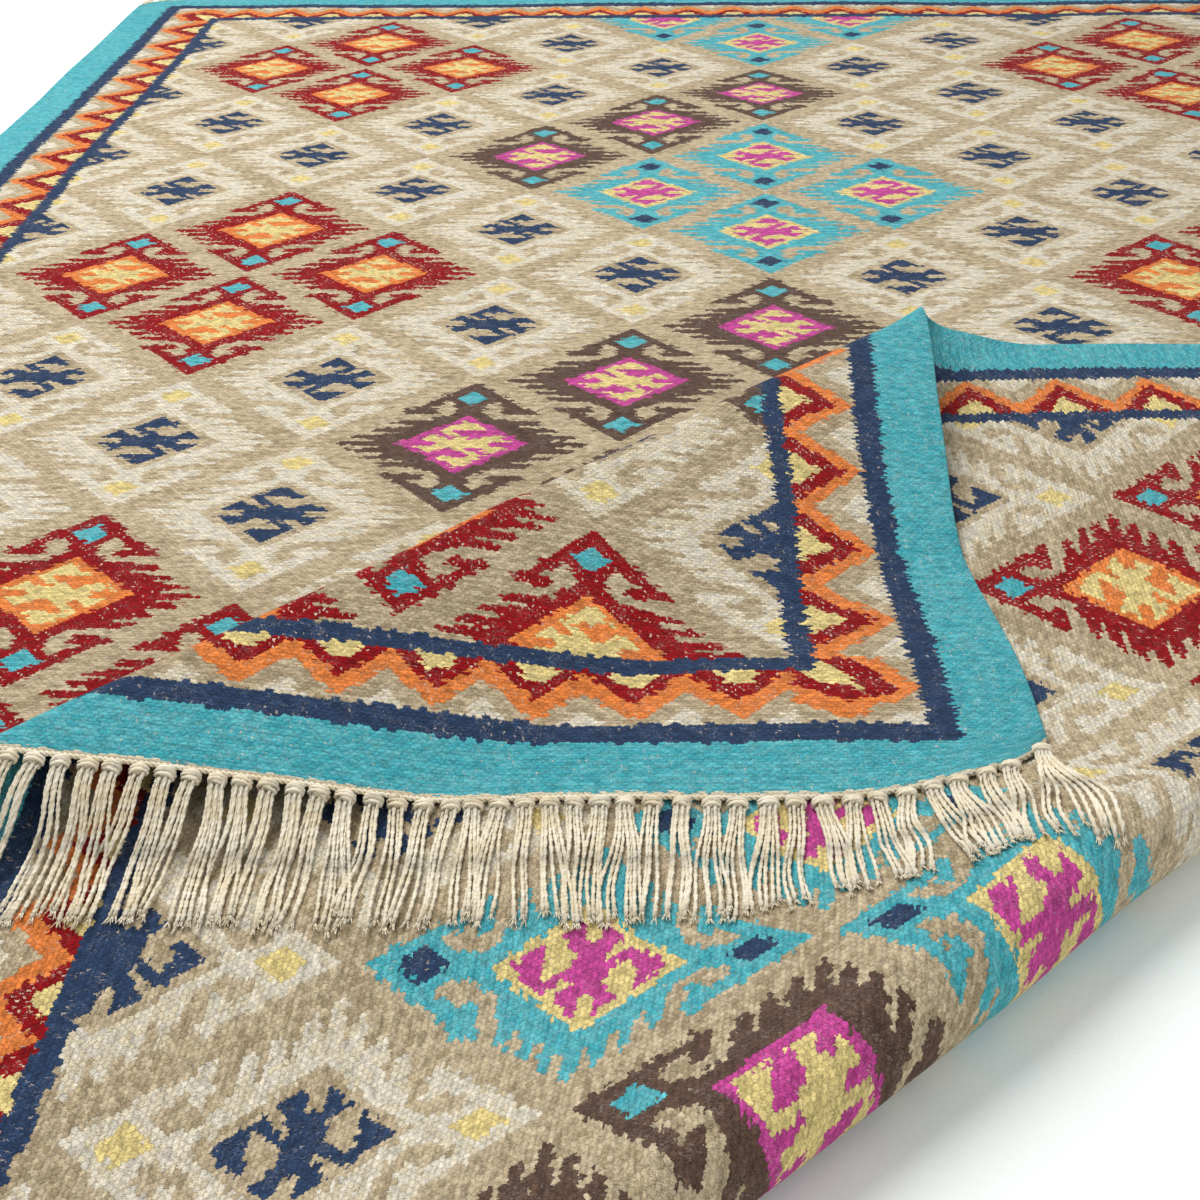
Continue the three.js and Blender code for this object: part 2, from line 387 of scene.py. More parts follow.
weave = {
    "warpPitch": 0.0024,
    "weftPitch": rug["cellLength"] / 42,  # 42 rows of weft to a cell
    "wander": 0.007,  # how far lines stray from true
    "fuzz": 0.004,  # how far stray fibres blur the beads
    "slip": 0.0022,  # how far each bead's colour strays
    "ragged": 0.0045,  # how far whole rows of a colour stop short or run over
    "beadRound": 0.3,
    "beadFall": 2.4,  # how quickly a bead falls off towards its rim
    "beadDepth": 0.0008,
    "outerBand": 0.018,
    "innerBand": 0.014,
    "sideRepeat": 0.076,
    "endRepeat": 0.060,  # from tip to tip of the zigzag along the ends
    "endBow": 0.008,  # how far the border's inner line strays outwards along the ends
    "bowFrom": 0.13,
    "bowTo": 0.32,
    "sideShift": 0.006,  # how much further from the corner the zigzag starts on the sides
    "yellowCut": 0.27,  # where the zigzag's yellow is cut off flat along the ends
    "dullFrom": 0.34,  # how dull the dye is on the whole
    "dullMore": {"streaks": 1.6, "patches": 2.0, "shade": 1.3},  # and how much that varies
    "cornerDull": 0.2,  # how much duller it is in the folded corner
    "bright": 1.08,  # how bright the wool is on the whole
    "brightMore": {"shade": 0.42, "fibres": 1.1, "streaks": 0.3, "heather": 1.2},
    "paintedHollowShade": 0.38,  # painted shade: how much darker it is where a bead dips under a warp
    "darkest": 0.2,
    "beadRelief": {"from": 0.6, "shade": 0.5},
    "fibreRelief": 1.4,
    "heatherRelief": 0.7,
    "hairThin": 0.014,
    "hairRare": 0.52,
    "hairShown": 0.14,
    "hairColour": dyed(226, 222, 212),
    "endWarps": {"from": 0.0004, "shade": 0.0022},  # how far in from the ends the warps show
    "endColour": dyed(226, 214, 186),
}

# How fine the wool's unevenness is: ripples a metre all ways, or across, along and through the rug
ripples = {
    "stray": 3.2,
    "fuzz": 560.0,
    "bare": 26.0,
    "hairPatches": 75.0,
    "ragged": (40.0, 170.0, 1.0),
    "streaks": (3.0, 26.0, 1.0),
    "patches": (45.0, 230.0, 1.0),
    "fibres": (1500.0, 700.0, 900.0),
    "heather": (130.0, 280.0, 1.0),
    "hair": (420.0, 260.0, 1.0),
}

# The pale warp where it peeps out between beads: how rare that is, and its size in parts of a bead
speck = {
    "rare": 1.5,
    "worn": 0.95,  # how much less rare it is in worn places
    "onRed": 0.25,
    "inCorner": 0.12,
    "wide": 0.18,
    "long": 0.1,
    "longMore": 0.14,
    "aside": 0.4,
    "slant": 0.2,
    "strength": 0.35,
    "strengthMore": 0.5,
    "offRed": 0.6,  # how much fainter it is where the beads aren't red
    "colour": dyed(240, 220, 196),
}

yarns = {
    "taupe": dyed(202, 183, 150),
    "cream": dyed(222, 213, 194),
    "red": dyed(136, 2, 9),
    "orange": dyed(216, 122, 58),
    "yellow": dyed(214, 193, 127),
    "navy": dyed(40, 59, 88),
    "turquoise": dyed(96, 182, 189),
    "pink": dyed(188, 68, 140),
    "brown": dyed(92, 70, 58),
}
dullTaupe = dyed(148, 131, 102)
dullCream = dyed(192, 180, 152)
dullTurquoise = dyed(56, 148, 158)

# Which yarn each part of a diamond takes, for each colouring
colourings = {
    "plain": {"band": "cream", "centre": "taupe", "wheel": "navy", "eye": "yellow"},
    "fire": {"band": "red", "centre": "orange", "wheel": "yellow", "eye": "turquoise"},
    "sea": {"band": "turquoise", "centre": "yellow", "wheel": "pink", "eye": "navy"},
    "earth": {"band": "brown", "centre": "pink", "wheel": "yellow", "eye": "turquoise"},
}
# Fire diamonds stand in fours, eight columns and six rows apart. The others are listed one by one.
firePlace = {"column": 0, "row": 1, "columnRepeat": 8, "rowRepeat": 6}
seaFours = [
    {"column": 4, "row": 3},
    {"column": 5, "row": -4},
    {"column": 4, "row": 9},
    {"column": 5, "row": -8},
]
earthThrees = [
    {"column": 3, "row": -1},
    {"column": 4, "row": -2},
    {"column": 3, "row": -9},
    {"column": 11, "row": -7},
    {"column": 3, "row": 5},
    {"column": 11, "row": 1},
    {"column": -1, "row": -8},
]
lattice = {"middleColumn": 4, "middleRow": -1}  # the diamond at the middle of the chart
# Distances across the folds between which the weave gives way, and between which the folded corner begins
given = {"from": 0.05, "to": 0.45}
foldedCorner = {"from": 0.74, "to": 0.80}


def offRepeat(value, first, repeat):
    # how far a value is from the nearest of the places that lie a repeat apart
    return abs((value - first + repeat / 2) % repeat - repeat / 2)


def diamondColourings(column, row):
    # a mask for each colouring, from the diamond's column and row
    columnOff = offRepeat(column, firePlace["column"], firePlace["columnRepeat"])
    rowOff = offRepeat(row, firePlace["row"], firePlace["rowRepeat"])
    fire = (columnOff + rowOff) < 1.5
    fours = [(abs(column - four["column"]) + abs(row - four["row"])) < 1.5 for four in seaFours]
    threes = []
    for three in earthThrees:
        columnOff = column - three["column"]
        rowOff = row - three["row"]
        threes.append((abs(columnOff - rowOff) < 0.5) & (abs(columnOff) < 1.5))
    sea = functools.reduce(Wire.__or__, fours)
    earth = functools.reduce(Wire.__or__, threes)
    return {"fire": fire, "sea": sea, "earth": earth}


# The chart of one diamond, in parts of the way from its middle to its corners
diamond = {
    "centre": 0.42,
    "plainMore": 0.03,  # how much larger the centre of a plain diamond is
    "plainTurned": 0.25,  # the share of plain diamonds whose wheel is the other way round
    "eyeAlong": 0.70,
    "eye": 0.115,
    "shade": 0.215,  # the band round the eye
    "ring": 0.56,
    "combFrom": 0.60,
    "combTo": 0.37,  # how far along the comb goes
    "toothPitch": 0.104,
    "toothLong": 0.2,
    "roofSlope": 1.155,
    "roofInner": 0.82,
    "roofOuter": 0.96,
    "roofFrom": 0.45,
    "neckWide": 0.09,
    "neckFrom": 0.40,
    "neckTo": 0.65,
    "hookAlong": 0.475,
    "hookThick": 0.042,
    "hookFrom": 0.2,
    "hookTo": 0.43,
}
# The wheel in its centre, in parts of the way to the centre's corners
wheel = {
    "reach": 0.82,
    "forkSlope": 0.7,
    "slotWide": 0.09,
    "slotFrom": 0.42,
    "barbFrom": 0.47,
    "strapSlope": 1.15,
    "strapStart": 0.2,
    "strapThick": 0.1,
    "strapTo": 0.56,
    "hubAcross": 0.2,
    "hubAlong": 0.17,
}


def wheelMask(acrossCell, alongCell, leftHanded, centreReach):
    # two slotted forks across and two barbs along, each barb joined to the hub by a slanting strap
    across = abs(acrossCell) / centreReach
    along = abs(alongCell) / centreReach
    slanted = acrossCell * alongCell.sign() * leftHanded / centreReach
    slot = (along < wheel["slotWide"]) & (across > wheel["slotFrom"])
    fork = along < across * wheel["forkSlope"]
    barb = along > wheel["barbFrom"]
    strapMiddle = along * wheel["strapSlope"] - wheel["strapStart"]
    strap = (abs(slanted - strapMiddle) < wheel["strapThick"]) & (along < wheel["strapTo"])
    hub = (across < wheel["hubAcross"]) & (along < wheel["hubAlong"])
    return ((fork & (1 - slot)) | barb | strap | hub) & ((across + along) < wheel["reach"])


def diamondParts(acrossCell, alongCell, leftHanded, centreReach):
    # masks of the parts of one diamond, whose corners lie at 1 across and 1 along
    across = abs(acrossCell)
    along = abs(alongCell)
    spread = across + along
    eyeSpread = across + abs(along - diamond["eyeAlong"])

    # the band has a comb at each side, and at each end a roof over the eye, with its ends hooked inwards
    tooth = (1 - abs((along / diamond["toothPitch"] + 0.5) % 1 - 0.5) * 2).ramp(0.12, 0.55)
    comb = (spread < (tooth * diamond["toothLong"] + diamond["combFrom"])) & (along < diamond["combTo"])
    ring = spread < diamond["ring"]
    roofLine = along + across * diamond["roofSlope"]
    roof = roofLine.between(diamond["roofInner"], diamond["roofOuter"]) & (along > diamond["roofFrom"])
    shade = eyeSpread < diamond["shade"]
    neck = (across < diamond["neckWide"]) & along.between(diamond["neckFrom"], diamond["neckTo"])
    hook = abs(along - diamond["hookAlong"]) < diamond["hookThick"]
    hook = hook & across.between(diamond["hookFrom"], diamond["hookTo"])
    return {
        "band": comb | ring | roof | shade | neck | hook,
        "centre": spread < centreReach,
        "wheel": wheelMask(acrossCell, alongCell, leftHanded, centreReach),
        "eye": eyeSpread < diamond["eye"],
    }


# How far outwards from the inner band each colour of the zigzag reaches at a tip, and how much less
# between two tips, as parts of the zigzag's width. The last two are added to them on the sides. Cream
# is what lies beyond its own step.
zigzagSteps = {
    "yellow": {"reach": 0.44, "less": 0.93, "sideReach": 0.02, "sideLess": 0.07},
    "red": {"reach": 0.60, "less": 0.60, "sideReach": 0.20, "sideLess": 0.30},
    "orange": {"reach": 0.94, "less": 0.59, "sideReach": 0.06, "sideLess": 0.16},
    "cream": {"reach": 1.34, "less": 0.65, "sideReach": 0.03, "sideLess": 0.10},
}


def borderParts(depth, reach, side, bow):
    # masks of the border: depth is the way in from the edge, reach the way along it from the corner
    outerLine = rug["plainBand"]
    zoneStart = outerLine + weave["outerBand"]
    zoneEnd = (rug["border"] - weave["innerBand"]) - bow
    inward = (zoneEnd - depth) / (zoneEnd - zoneStart)  # 0 at the inner band, 1 at the outer one
    repeat = side * (weave["sideRepeat"] - weave["endRepeat"]) + weave["endRepeat"]
    fromCorner = reach - rug["border"] - side * weave["sideShift"]
    wave = abs((fromCorner / repeat) % 1 - 0.5) * 2  # 0 at a tip, 1 between two tips
    cornerSquare = reach < rug["border"]
    innerHalf = fromCorner > (repeat * -0.5)
    tip = wave * (1 - (cornerSquare & innerHalf) * 0.5)
    steps = {}
    for name, step in zigzagSteps.items():
        less = side * step["sideLess"] + step["less"]
        steps[name] = side * step["sideReach"] + step["reach"] - tip * less
    return {
        "field": depth > (rug["border"] - bow),
        "plain": depth < outerLine,
        "zigzag": depth.between(zoneStart, zoneEnd),
        "yellow": (inward < steps["yellow"]) & (inward < (side + weave["yellowCut"])),
        "red": inward < steps["red"],
        "orange": inward < steps["orange"],
        "cream": inward > steps["cream"],
    }


def kilimWeave():
    finish = {"Roughness": 0.95, "Sheen_Weight": 0.05, "Sheen_Roughness": 0.5, "Specular_IOR_Level": 0.08}
    material, shader, start = newMaterial("kilimWeave", **finish)
    flat = start.node("ShaderNodeAttribute", {"attribute_name": "flat"}, {}, "Vector")
    stray = start.grain(flat, ripples["stray"], 0.0, 1)
    fuzz = start.grain(flat, ripples["fuzz"], 1.0, 1)
    x = flat.part("X") + (stray.part("X") - 0.5) * weave["wander"] + (fuzz.part("X") - 0.5) * weave["fuzz"]
    y = flat.part("Y") + (stray.part("Y") - 0.5) * weave["wander"] + (fuzz.part("Y") - 0.5) * weave["fuzz"]

    # beads of weft lie like bricks: each reaches over two warps, half a bead off those of the next row
    warp, weft = weave["warpPitch"], weave["weftPitch"]
    beadWide, rowPair = warp * 2, weft * 2
    evenX = (x / beadWide + 0.5).floor() * beadWide
    evenY = (y / rowPair + 0.5).floor() * rowPair
    oddX = (x / beadWide).floor() * beadWide + warp
    oddY = (y / rowPair).floor() * rowPair + weft

    def beadSpread(middleX, middleY):
        across = (x - middleX) / warp
        along = (y - middleY) / weft
        return across * across * weave["beadRound"] + along * along

    evenSpread = beadSpread(evenX, evenY)
    oddSpread = beadSpread(oddX, oddY)
    odd = oddSpread < evenSpread
    beadX = evenX + (oddX - evenX) * odd
    beadY = evenY + (oddY - evenY) * odd
    hollow = evenSpread.lowest(oddSpread) * weave["beadFall"]  # 0 in the middle of a bead, 1 at its rim

    # a bead takes its colour from the chart, but strays a little from where it belongs
    beadPlace = start.vector(beadX * 1000.0, beadY * 1000.0, 1.0)
    shade = start.dice(beadPlace)
    slip = start.dice(beadPlace, 1)
    ragged = start.grain(flat.times(ripples["ragged"]), 1.0, 1.0)
    chartX = beadX + (slip.part("X") - 0.5) * weave["slip"] + (ragged - 0.5) * (weave["ragged"] * 2)
    chartY = beadY + (slip.part("Y") - 0.5) * weave["slip"]

    # the border, mitred at the corners
    fromSide = halfWidth - abs(chartX)
    fromEnd = halfLength - abs(chartY)
    side = fromSide < fromEnd
    depth = fromSide.lowest(fromEnd)
    reach = fromSide.highest(fromEnd)
    bow = (1 - side) * reach.ramp(weave["bowFrom"], weave["bowTo"]) * weave["endBow"]
    border = borderParts(depth, reach, side, bow)

    # the diamond that the bead belongs to
    folded = (x - y) / root2
    gone = folded.ramp(given["from"], given["to"]) * 2 - 1
    columnAt = (chartX - gone * rug["giveAcross"]) / rug["cellWidth"] + lattice["middleColumn"]
    rowAt = (chartY + gone * rug["giveAlong"]) / rug["cellLength"] + lattice["middleRow"]
    rising = ((columnAt + rowAt) / 2 + 0.5).floor()
    falling = ((columnAt - rowAt) / 2 + 0.5).floor()
    column = rising + falling
    row = rising - falling
    masks = diamondColourings(column, row)
    plain = 1 - (masks["fire"] | masks["earth"] | masks["sea"])
    turned = plain & (start.dice(start.vector(column, row, 3.0)) < diamond["plainTurned"])
    leftHanded = (masks["sea"] | turned) * 2 - 1
    centreReach = plain * diamond["plainMore"] + diamond["centre"]
    parts = diamondParts(columnAt - column, rowAt - row, leftHanded, centreReach)

    uneven = {"shade": shade}
    for name in ("streaks", "patches", "fibres", "heather"):
        uneven[name] = start.grain(flat.times(ripples[name]), 1.0, 2.0)

    def strayed(value, weights):
        for name, weight in weights.items():
            value = value + (uneven[name] - 0.5) * weight
        return value

    # the dye lots drift in streaks along the weft, and the folded corner is duller than the rest
    inCorner = folded.ramp(foldedCorner["from"], foldedCorner["to"])
    dull = strayed(inCorner * weave["cornerDull"] + weave["dullFrom"], weave["dullMore"]).clamped()
    ground = start.mixed(dull, yarns["taupe"], dullTaupe)
    pale = start.mixed(dull, yarns["cream"], dullCream)
    sea = start.mixed(dull, yarns["turquoise"], dullTurquoise)
    varied = {**yarns, "taupe": ground, "cream": pale, "turquoise": sea}

    def yarnOf(part):
        colour = varied[colourings["plain"][part]]
        for name, mask in masks.items():
            colour = start.mixed(mask, colour, varied[colourings[name][part]])
        return colour

    motif = start.mixed(parts["band"], ground, yarnOf("band"))
    motif = start.mixed(parts["centre"], motif, yarnOf("centre"))
    motif = start.mixed(parts["wheel"], motif, yarnOf("wheel"))
    motif = start.mixed(parts["eye"], motif, yarnOf("eye"))

    zigzag = start.mixed(border["cream"], ground, pale)
    zigzag = start.mixed(border["orange"], zigzag, yarns["orange"])
    zigzag = start.mixed(border["red"], zigzag, yarns["red"])
    zigzag = start.mixed(border["yellow"], zigzag, yarns["yellow"])
    edge = start.mixed(border["zigzag"], yarns["navy"], zigzag)
    edge = start.mixed(border["plain"], edge, sea)
    colour = start.mixed(border["field"], edge, motif)

    # wool: each bead has its own shade, has painted shade in the hollow where it dips under a warp and is
    # rough with fibres
    # painted shade, strongest at a bead's rim where it dips under a warp
    hollowShade = (hollow + (uneven["fibres"] - 0.5) * 0.8).ramp(0.3, 1.0)
    tone = strayed(1.0, weave["brightMore"]) * (weave["bright"] - hollowShade * weave["paintedHollowShade"])
    colour = colour.scaled(tone.highest(weave["darkest"]))
    hairLine = abs(start.grain(flat.times(ripples["hair"]), 1.0, 1.0) - 0.5)
    hairPatches = start.grain(flat, ripples["hairPatches"], 1.0)
    hair = (hairLine < weave["hairThin"]) & (hairPatches > weave["hairRare"])
    colour = start.mixed(hair * weave["hairShown"], colour, weave["hairColour"])

    # the pale warp peeps out between two beads, in clusters, most of all in red and in the folded corner
    gapColumn = (x / warp + 0.5).floor()
    acrossGap = x / warp - gapColumn
    upGap = y / rowPair + (1 - gapColumn % 2) * 0.5
    gapRow = (upGap + 0.5).floor()
    alongGap = upGap - gapRow + acrossGap * speck["slant"]
    bare = start.grain(flat, ripples["bare"], 2.0)
    crimson = (colour.part("X") > 0.10) & (colour.part("Y") < 0.025)
    rare = speck["rare"] - bare * speck["worn"] - crimson * speck["onRed"] - inCorner * speck["inCorner"]
    gapPlace = start.vector(gapColumn, gapRow, 7.0)
    seen = start.dice(gapPlace) > rare
    nudge = start.dice(gapPlace, 1)
    aside = abs(acrossGap + (nudge.part("X") - 0.5) * speck["aside"])
    upright = abs(alongGap) < (nudge.part("Y") * speck["longMore"] + speck["long"])
    shown = seen & (aside < speck["wide"]) & upright
    strength = nudge.part("Z") * speck["strengthMore"] + speck["strength"]
    strength = strength * (crimson * (1 - speck["offRed"]) + speck["offRed"])
    colour = start.mixed(shown * strength, colour, speck["colour"])

    # at the ends the warps pass between the last wefts into the twined edge
    toEnd = halfLength - abs(flat.part("Y"))
    warpsShow = toEnd < (shade * weave["endWarps"]["shade"] + weave["endWarps"]["from"])
    plug(start.mixed(warpsShow, colour, weave["endColour"]), shader, "Base Color")

    relief = (1 - hollow.lowest(1.0)) * (shade * weave["beadRelief"]["shade"] + weave["beadRelief"]["from"])
    relief = relief + uneven["fibres"] * weave["fibreRelief"] + uneven["heather"] * weave["heatherRelief"]
    plug(start.bump(relief, weave["beadDepth"]), shader, "Normal")
    return material


# The cloth: a fine grid laid along the folds, cut to the rug's outline, given its thickness and folded
clothMesh = {
    "alongStep": 0.012,
    "floorStep": 0.0135,
    "tipCuts": 30,
    "rimSteps": 5,
    "cuts": {
        "roll": 20,
        "rollSlope": 6,
        "rollLanding": 5,
        "middle": 24,
        "lift": 5,
        "rise": 2,
        "ridge": 20,
        "ridgeSlope": 7,
        "ridgeLanding": 5,
        "flap": 14,
    },
}


def gridStations(along, floorCuts, tipCuts):
    # distances across the folds at which the grid has a line, finer where the cloth bends
    corner = (halfWidth + halfLength) / root2
    start, stretches = foldSection(round(along, 5))
    places = [lerp(-corner, start, step / floorCuts) for step in range(floorCuts + 1)]
    for name, length, _ in stretches[:-1]:
        cuts = clothMesh["cuts"][name]
        base = places[-1]
        places += [base + length * step / cuts for step in range(1, cuts + 1)]
    flapEnd = places[-1]
    places += [lerp(flapEnd, corner, step / tipCuts) for step in range(1, tipCuts + 1)]
    return places


def weaveCloth():
    corner = (halfWidth + halfLength) / root2
    rim = rug["thickness"] / 2
    alongCuts = round(2 * corner / clothMesh["alongStep"])
    floorCuts = round((corner + fold["roll"][0]["start"]) / clothMesh["floorStep"])
    tipCuts = clothMesh["tipCuts"]
    acrossCuts = floorCuts + sum(clothMesh["cuts"].values()) + tipCuts
    sheet = bmesh.new()
    bmesh.ops.create_grid(sheet, x_segments=alongCuts, y_segments=acrossCuts, size=1)
    stations = {}
    for vert in sheet.verts:
        alongIndex = round((vert.co.x + 1) / 2 * alongCuts)
        acrossIndex = round((vert.co.y + 1) / 2 * acrossCuts)
        along = lerp(-corner, corner, alongIndex / alongCuts)
        if alongIndex not in stations:
            stations[alongIndex] = gridStations(along, floorCuts, tipCuts)
        across = stations[alongIndex][acrossIndex]
        vert.co = Vector(((along + across) / root2, (along - across) / root2, 0))
    inset = Vector((halfWidth - rim, halfLength - rim, 0))
    for way in (Vector((1, 0, 0)), Vector((-1, 0, 0)), Vector((0, 1, 0)), Vector((0, -1, 0))):
        place = Vector((way.x * inset.x, way.y * inset.y, 0))
        geometry = sheet.verts[:] + sheet.edges[:] + sheet.faces[:]
        cut = {"plane_co": place, "plane_no": way, "clear_outer": True}
        bmesh.ops.bisect_plane(sheet, geom=geometry, dist=1e-5, **cut)
    bmesh.ops.recalc_face_normals(sheet, faces=sheet.faces[:])
    if sheet.faces[0].normal.z < 0:
        bmesh.ops.reverse_faces(sheet, faces=sheet.faces[:])

    # the back of the cloth, and a half-round rim from face to back
    copied = bmesh.ops.duplicate(sheet, geom=sheet.verts[:] + sheet.edges[:] + sheet.faces[:])["geom"]
    back = [part for part in copied if isinstance(part, bmesh.types.BMFace)]
    bmesh.ops.reverse_faces(sheet, faces=back)
    backVerts = {part for part in copied if isinstance(part, bmesh.types.BMVert)}
    for vert in sheet.verts:
        vert.co.z = -rim if vert in backVerts else rim
    edges = [edge for edge in sheet.edges if edge.is_boundary and edge.verts[0] not in backVerts]
    for step in range(1, clothMesh["rimSteps"] + 1):
        angle = math.pi * step / clothMesh["rimSteps"]
        made = bmesh.ops.extrude_edge_only(sheet, edges=edges)["geom"]
        for vert in [part for part in made if isinstance(part, bmesh.types.BMVert)]:
            base = Vector((clamp(vert.co.x, -inset.x, inset.x), clamp(vert.co.y, -inset.y, inset.y), 0))
            outward = Vector((0, 0, 0))
            if abs(base.x) > inset.x - 1e-5:
                outward.x = math.copysign(1, base.x)
            if abs(base.y) > inset.y - 1e-5:
                outward.y = math.copysign(1, base.y)
            vert.co = base + outward.normalized() * rim * math.sin(angle)
            vert.co.z = rim * math.cos(angle)
        edges = [part for part in made if isinstance(part, bmesh.types.BMEdge) and part.is_boundary]
    bmesh.ops.remove_doubles(sheet, verts=sheet.verts[:], dist=1e-5)
    bmesh.ops.recalc_face_normals(sheet, faces=sheet.faces[:])

    flatPlace = sheet.verts.layers.float_vector.new("flat")
    for vert in sheet.verts:
        x, y, offset = vert.co
        vert[flatPlace] = vert.co.copy()
        pulled = endPull(x, halfLength - abs(y))
        vert.co = foldPoint(x, y - math.copysign(pulled, y), offset)
    for face in sheet.faces:
        face.smooth = True
    openEdges = [edge for edge in sheet.edges if not edge.is_manifold]
    print("cloth:", len(sheet.faces), "faces, open edges:", len(openEdges))
    return sheet


def addPiece(name, mesh, material, node):
    piece = bpy.data.objects.new(name, mesh)
    bpy.context.scene.collection.objects.link(piece)
    mesh.materials.clear()
    mesh.materials.append(material)
    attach(piece, "root")
    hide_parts(node)
    return piece


sheet = weaveCloth()
clothTree = BVHTree.FromBMesh(sheet)
mesh = bpy.data.meshes.new("kilimCloth")
sheet.to_mesh(mesh)
sheet.free()
cloth = addPiece("kilimCloth", mesh, kilimWeave(), "rug_cloth")
print("cloth folded")


# The fringe: a twined edge line, then wrapped knots, then two-ply cords that fan out and lie down
fringe = {
    "pitch": 0.0143,
    "count": 120,
    "cornerShift": 0.0042,  # how much nearer to the corner the last knot of a row sits
    "edgeCord": 0.0009,  # radius of one strand of the edge line
    "edgeLay": 0.0065,
    "edgeShort": 0.003,  # how much short of the selvedge the edge line stops
    "edgeOut": 0.0008,
    "knotCord": 0.0013,
    "knotWide": 0.0047,
    "knotThick": 0.0027,
    "knotTurns": 2.7,
    "knotStart": 0.003,
    "knotLong": 0.0068,
    "heart": 0.0014,
    "heartThick": (1.9, 2.6, 2.2),  # at the knot's head, middle and foot
    "cord": 0.00118,
    "cordLong": 0.092,
    "cordsEach": (4, 5, 5, 6, 6, 7),
    "ply": 0.0042,  # length over which the two plies change places
    "headWide": 0.0044,  # how far to each side the outer cords leave the knot
    "stray": 0.0022,  # how far a cord's tip strays from its place in the fan
    "loose": {"more": 0.8, "from": 0.45, "over": 0.3},  # the tassels are looser away from the corner
    "turn": 22,  # how sharply a cord sinks, in radians a metre
    "landing": 32,  # how much steeper it may sink for each metre that it is clear of what it will lie on
    "lie": 0.004,  # how far above a cord's own place the cloth that it lies on may be
    "tip": 0.00032,
    "tipLong": 0.0075,
    "tipTaper": ((0, 1.2), (0.4, 1.1), (0.75, 0.8), (1, 0.3)),  # part of the way along, and thickness
    "fineFrom": 0.08,  # the tassels beyond this are made finer, as they are seen closest
}
fineTassel = {"steps": 28, "tips": 6}
plainTassel = {"steps": 13, "tips": 3}
cornerTassel = {"within": 0.018, "lean": 0.1, "cords": 9, "spread": 1.9, "long": 1.22}
# Along the flap the tassels lean to the left, less and less, and the last ones to the right
leaning = {
    "left": -0.22,
    "leftFrom": 0.15,
    "leftOver": 0.35,
    "right": 0.04,
    "rightFrom": 0.765,
    "rightOver": 0.03,
    "flapFrom": -0.02,  # left of this they aren't on the flap
    "flapChance": 0.12,  # how much more or less a tassel leans by chance
    "elsewhereChance": 0.25,
}

# The cotton of its cords
cotton = {
    "dark": dyed(222, 207, 175),
    "light": dyed(232, 222, 198),
    "tip": dyed(240, 236, 224),
    "tipShown": 0.7,
    "patches": 45.0,  # ripples a metre
    "fibres": 1400.0,
    "bright": 1.04,
    # painted shade in the grooves between the two plies
    "paintedGrooveShade": 0.42,
    "fibreShade": 0.3,
    "fibreRelief": 0.4,
    "relief": 0.0005,
    "reliefStrength": 0.8,
}


def cottonCord():
    finish = {"Roughness": 0.9, "Sheen_Weight": 0.2, "Sheen_Roughness": 0.5, "Specular_IOR_Level": 0.25}
    material, shader, start = newMaterial("cottonCord", **finish)
    place = start.node("ShaderNodeTexCoord", {}, {}, "Object")
    wound = start.node("ShaderNodeUVMap", {"uv_map": "UVMap"}, {})
    around = wound.part("X")
    along = wound.part("Y")
    groove = abs((around * 2) % 1 - 0.5) * 2  # 0 in the middle of a ply, 1 between two plies
    sharpGroove = groove * groove * groove
    fibres = start.grain(place, cotton["fibres"], 2.0)
    patches = start.grain(place, cotton["patches"], 2.0)
    base = start.mixed(patches.ramp(0.35, 0.65), cotton["dark"], cotton["light"])
    tips = along.ramp(0.75, 1.0)
    base = start.mixed(tips * cotton["tipShown"], base, cotton["tip"])
    # painted shade darkens the grooves between plies, and fibres vary the tone
    tone = cotton["bright"] - sharpGroove * cotton["paintedGrooveShade"] + (fibres - 0.5) * cotton["fibreShade"]
    plug(base.scaled(tone), shader, "Base Color")
    relief = (1 - sharpGroove) + fibres * cotton["fibreRelief"]
    plug(start.bump(relief, cotton["relief"], cotton["reliefStrength"]), shader, "Normal")
    return material


def cordMesh(name, paths, radius, sides, flatness=1.0):
    # one closed tube for each path, a list of (place, thickness, twist)
    outline = bpy.data.curves.new(name + "Outline", "CURVE")
    spline = outline.splines.new("POLY")
    spline.points.add(sides - 1)
    spline.use_cyclic_u = True
    for index, point in enumerate(spline.points):
        angle = 2 * math.pi * index / sides
        swell = 1 + (1 - flatness) * math.cos(2 * angle)
        point.co = (radius * swell * math.cos(angle), radius * swell * math.sin(angle), 0, 1)
    outlineObject = bpy.data.objects.new(name + "Outline", outline)
    curve = bpy.data.curves.new(name, "CURVE")
    curve.dimensions = "3D"
    curve.bevel_mode = "OBJECT"
    curve.bevel_object = outlineObject
    curve.use_fill_caps = True
    for path in paths:
        spline = curve.splines.new("POLY")
        spline.points.add(len(path) - 1)
        for point, (place, thickness, twist) in zip(spline.points, path):
            point.co = (place.x, place.y, max(place.z, radius * thickness), 1)
            point.radius = thickness
            point.tilt = twist
    curveObject = bpy.data.objects.new(name, curve)
    bpy.context.scene.collection.objects.link(curveObject)
    bpy.context.view_layer.update()
    graph = bpy.context.evaluated_depsgraph_get()
    mesh = bpy.data.meshes.new_from_object(curveObject.evaluated_get(graph))
    bpy.data.objects.remove(curveObject)
    bpy.data.objects.remove(outlineObject)
    shell = bmesh.new()
    shell.from_mesh(mesh)
    bmesh.ops.remove_doubles(shell, verts=shell.verts[:], dist=1e-7)
    bmesh.ops.recalc_face_normals(shell, faces=shell.faces[:])
    for face in shell.faces:
        face.smooth = len(face.verts) == 4
    shell.to_mesh(mesh)
    shell.free()
    mesh.name = name
    print(name + ":", len(paths), "cords,", len(mesh.polygons), "faces")
    return mesh


